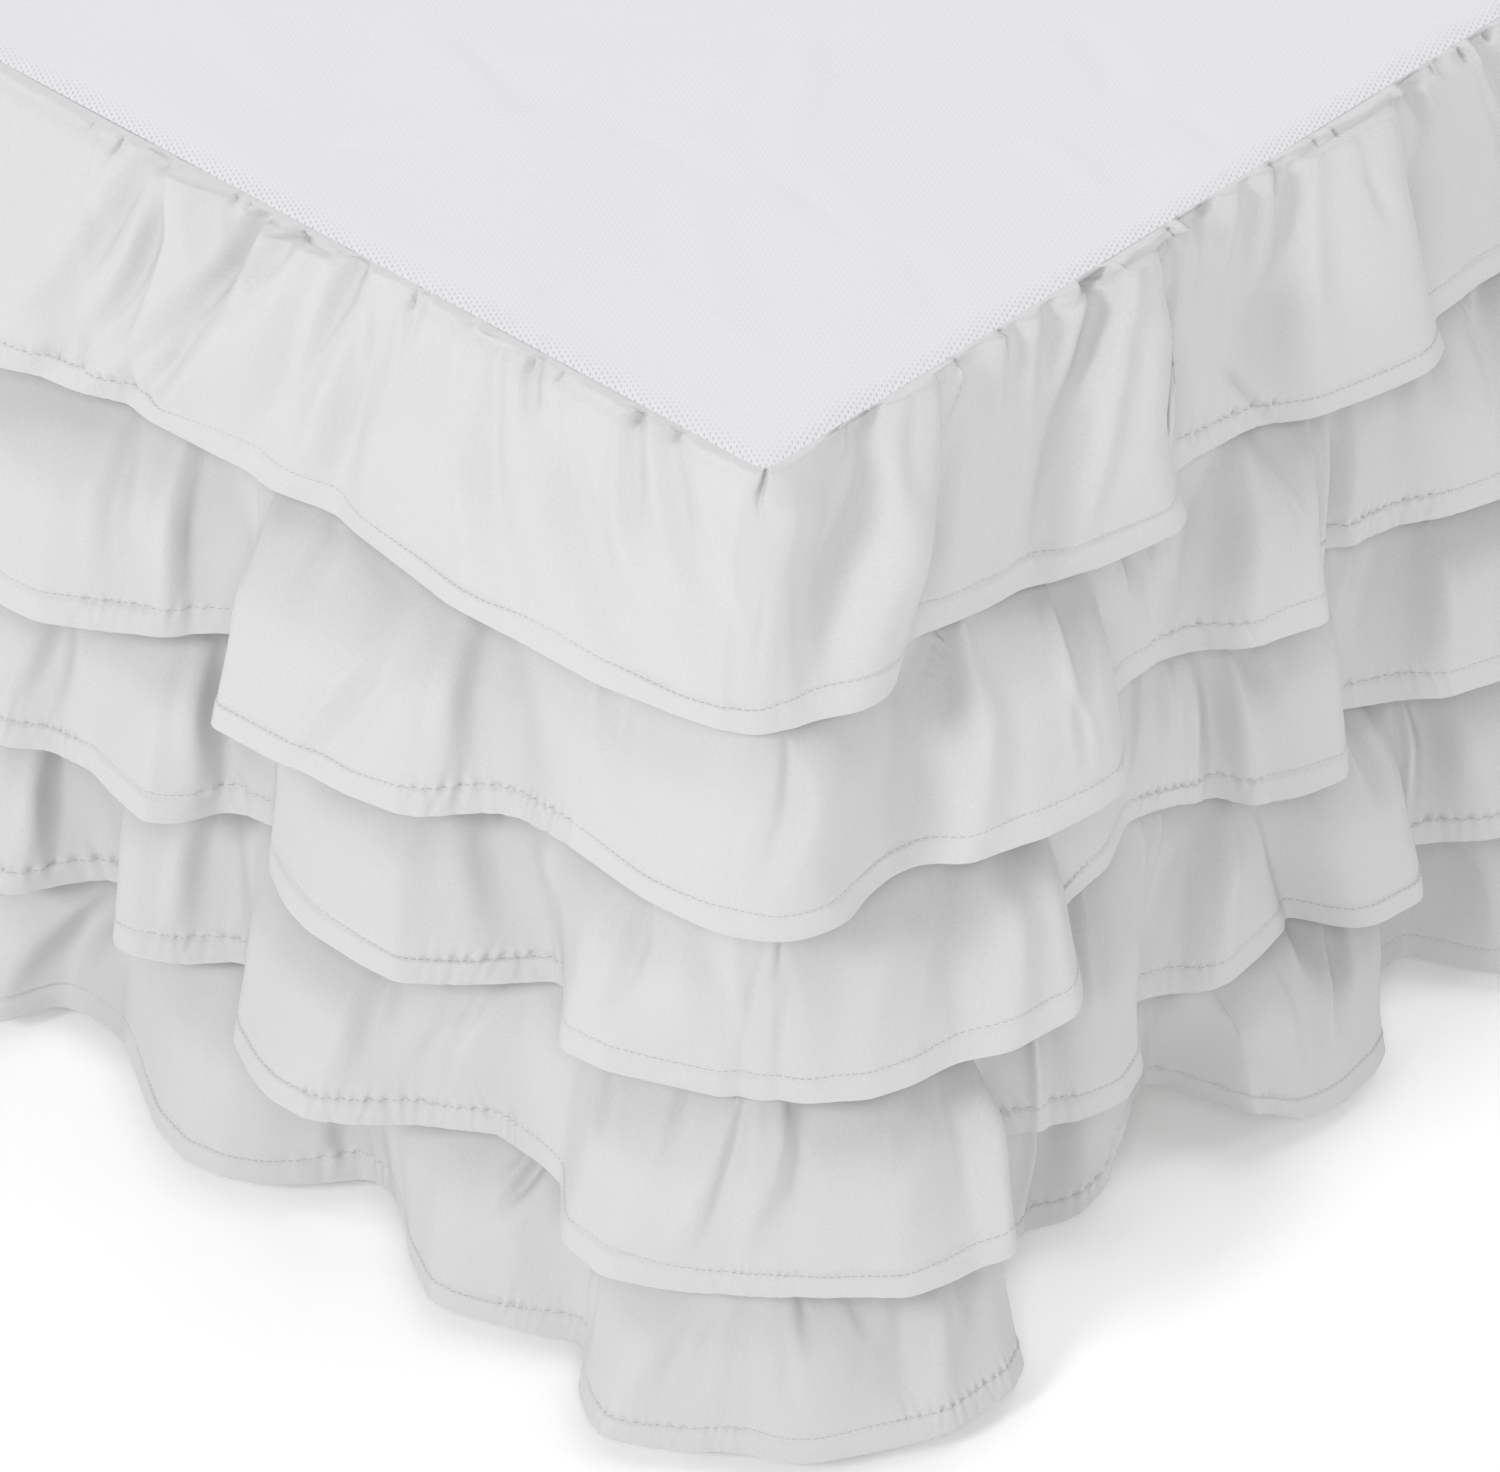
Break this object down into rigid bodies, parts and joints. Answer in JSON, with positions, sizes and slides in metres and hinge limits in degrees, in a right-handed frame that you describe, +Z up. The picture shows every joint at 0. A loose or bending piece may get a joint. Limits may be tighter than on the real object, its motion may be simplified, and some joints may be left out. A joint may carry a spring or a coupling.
{
  "type": "bed skirt on box spring with legs",
  "caption": "White gathered bed skirt of stacked ruffled tiers hanging on three sides of a plain box spring, with a flat mesh platform panel on top and legs under it.",
  "frame": {"origin": "centre of the bounding box at floor level, under the middle of the bed", "axes": "+Z up from the floor, +Y along the bed towards the head end that the skirt leaves open, +X towards the long side at the right of a person who lies on their back with the head at +Y"},
  "size_m": [1.1371, 1.9793, 0.4665],
  "materials": {
    "ruffle": "matte woven cotton",
    "mesh": "matte fine mesh knit",
    "panel": "matte woven cotton",
    "spring_cover": "plain matte cover",
    "leg": "satin"
  },
  "bodies": {
    "root": {"platform": "mesh", "tier_1": "ruffle", "tier_2": "ruffle", "tier_3": "ruffle", "tier_4": "ruffle", "tier_5": "ruffle", "drop_panel": "panel", "box_spring": "spring_cover", "leg_1": "leg", "leg_2": "leg", "leg_3": "leg", "leg_4": "leg"}
  },
  "joints": []
}
